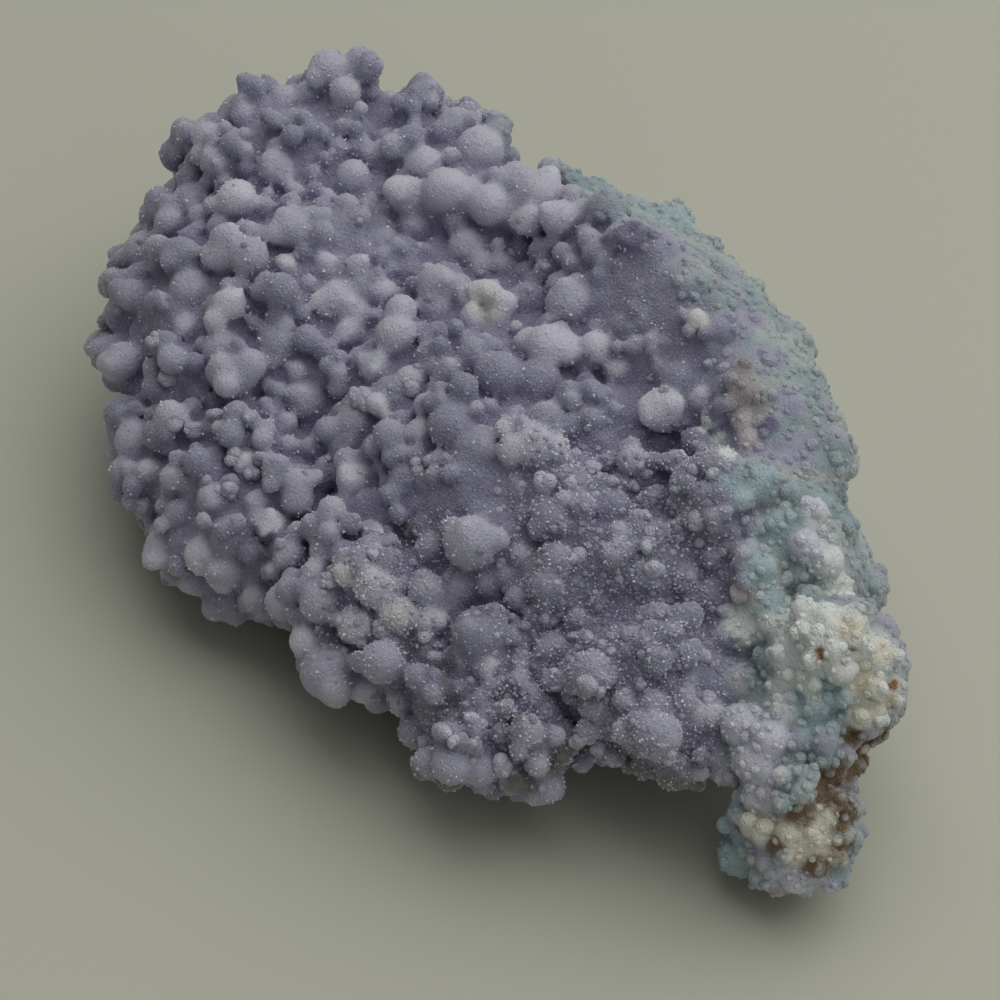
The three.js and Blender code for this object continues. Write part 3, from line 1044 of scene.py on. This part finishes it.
def fused_halves(field, material):
    """The field's surface as two closed pieces, and their outer faces together."""
    height = above_seam(field.places())
    halves = []
    outer = {"points": [], "faces": [], "normals": []}
    before = 0
    for name, side, lap, shrink in (("upper", -1, SEAM_LAP, 0), ("lower", 1, 0, SEAM_SHRINK)):
        points, faces = field.mesh(side * height - lap, shrink)
        half = make_object(f"agate_{name}", points, faces, material)
        normals = np.empty(len(points) * 3, np.float32)
        half.data.vertex_normals.foreach_get("vector", normals)
        normals = normals.reshape(-1, 3)
        halves.append((half, points, normals))
        shows = (side * above_seam(points) <= 0)[faces].all(1)
        outer["points"].append(points)
        outer["faces"].append(faces[shows] + before)
        outer["normals"].append(normals)
        before += len(points)
        print(half.name, "triangles", len(faces))
    return halves, {name: np.concatenate(parts) for name, parts in outer.items()}


PURPLE_SPHERULES = {
    "least": 0.20, "most": 0.5, "candidates": 2200, "spacing": 0.70, "depth": 0.5, "paleness": (0.0, 0.7),
}
RIND_GRANULES = {
    "least": 0.28, "most": 0.7, "candidates": 5500, "spacing": 0.78, "depth": 0.4, "paleness": (0.0, 1.0),
}


def strew(heap, body, weights, sort, rng):
    """Adds random balls to a heap, where there is room and none of the photograph's is hidden."""
    count = sort["candidates"]
    places, outward = sprinkle(body, weights, count, rng)
    radii = sort["least"] + (sort["most"] - sort["least"]) * rng.uniform(0, 1, count) ** 1.7
    pales = rng.uniform(*sort["paleness"], count)
    for place, normal, radius, pale in zip(places, outward, radii, pales):
        centre = place - normal * (sort["depth"] * radius)
        if centre[2] < radius or heap.is_crowded(centre, radius, sort["spacing"]):
            continue
        if not heap.covers_shown(centre, radius):
            heap.add(centre, normal, radius, pale)


def crystals(body, painter, dense, rng):
    """The druse: crystals like coarse sugar, dense in its zones and sparse elsewhere."""
    purple = 1 - rind_share(body["points"])
    places, outward = sprinkle(body, purple * (SPARSE + dense), CRYSTALS, rng)
    radii = LEAST_CRYSTAL + (MOST_CRYSTAL - LEAST_CRYSTAL) * rng.uniform(0, 1, CRYSTALS) ** 2
    points, faces, owner = swarm(
        crystal(),
        places,
        radii,
        turned_to(outward, 0.5, rng),
        rng.uniform(0.8, 1.3, (CRYSTALS, 3)),
        dents_of(CRYSTALS, 0.0, rng),
    )
    thing = make_object("druse_crystals", points, faces, druse(), smooth=False)
    paint(thing.data, luck=rng.uniform(0, 1, CRYSTALS)[owner], **painter.shades(points, outward[owner]))
    part_of_stone(thing)
    print("crystals triangles", len(faces))


def build_stone():
    rng = np.random.default_rng(SEED)
    points, triangles = solid_mesh()
    base = Heap(tree_of(points, triangles), 5.0)
    calm = seen_at(base, CALM)
    empty = seen_at(base, CALM + HOLES)
    lowered = seen_at(base, LOWERED)
    knobby = seen_at(base, KNOBBY)
    druse_zones = seen_at(base, DRUSE)
    base.add_bunches(BUNCHES, 0.35)
    shown = len(base.radii)
    low = points.min(0)
    high = points.max(0)
    bud(base, 0, shown, 0.6, (0.35, 0.6), rng)
    grown = len(base.radii)
    scatter(base, low, high, BIG, lowered, empty, knobby, rng)
    bud(base, grown, len(base.radii), 0.4, (0.4, 0.65), rng)
    scatter(base, low, high, SMALL, lowered, empty, knobby, rng)

    finish = chalcedony()
    field = fused_field(points, triangles, base, calm, lowered, druse_zones, rng)
    halves, body = fused_halves(field, finish)
    fused = Heap(tree_of(body["points"], body["faces"]), 2.6)
    painter = Painter(field, {name: seen_at(fused, spots) for name, (_, spots) in PATCHES.items()})
    for half, places, normals in halves:
        paint(half.data, **painter.shades(places, normals))
        part_of_stone(half)

    fused.add_bunches(SPHERULES, 0.3)
    bud(fused, 0, len(fused.radii), 0.75, (0.45, 0.8), rng)
    dense = nearness(body["points"], *seen_at(fused, DRUSE))
    rind = rind_share(body["points"])
    above = body["points"][:, 2] > 1.0
    shades = painter.shades(body["points"], body["normals"])
    sunk = 1.15 - shades["open"]
    strew(fused, body, (1 - rind) * (0.04 + 1.5 * dense) * sunk, PURPLE_SPHERULES, rng)
    facing = np.where(body["normals"] @ np.array(SIGHT) < 0, 1.0, 0.45)
    by_the_seam = 1 - shades["deep"] / TRANSLUCENT
    strew(fused, body, rind * above * (facing + 2.5 * by_the_seam), RIND_GRANULES, rng)
    balls("spherules", fused, finish, painter, rng)
    crystals(body, painter, dense, rng)


camera()
lights()
floor()
build_stone()
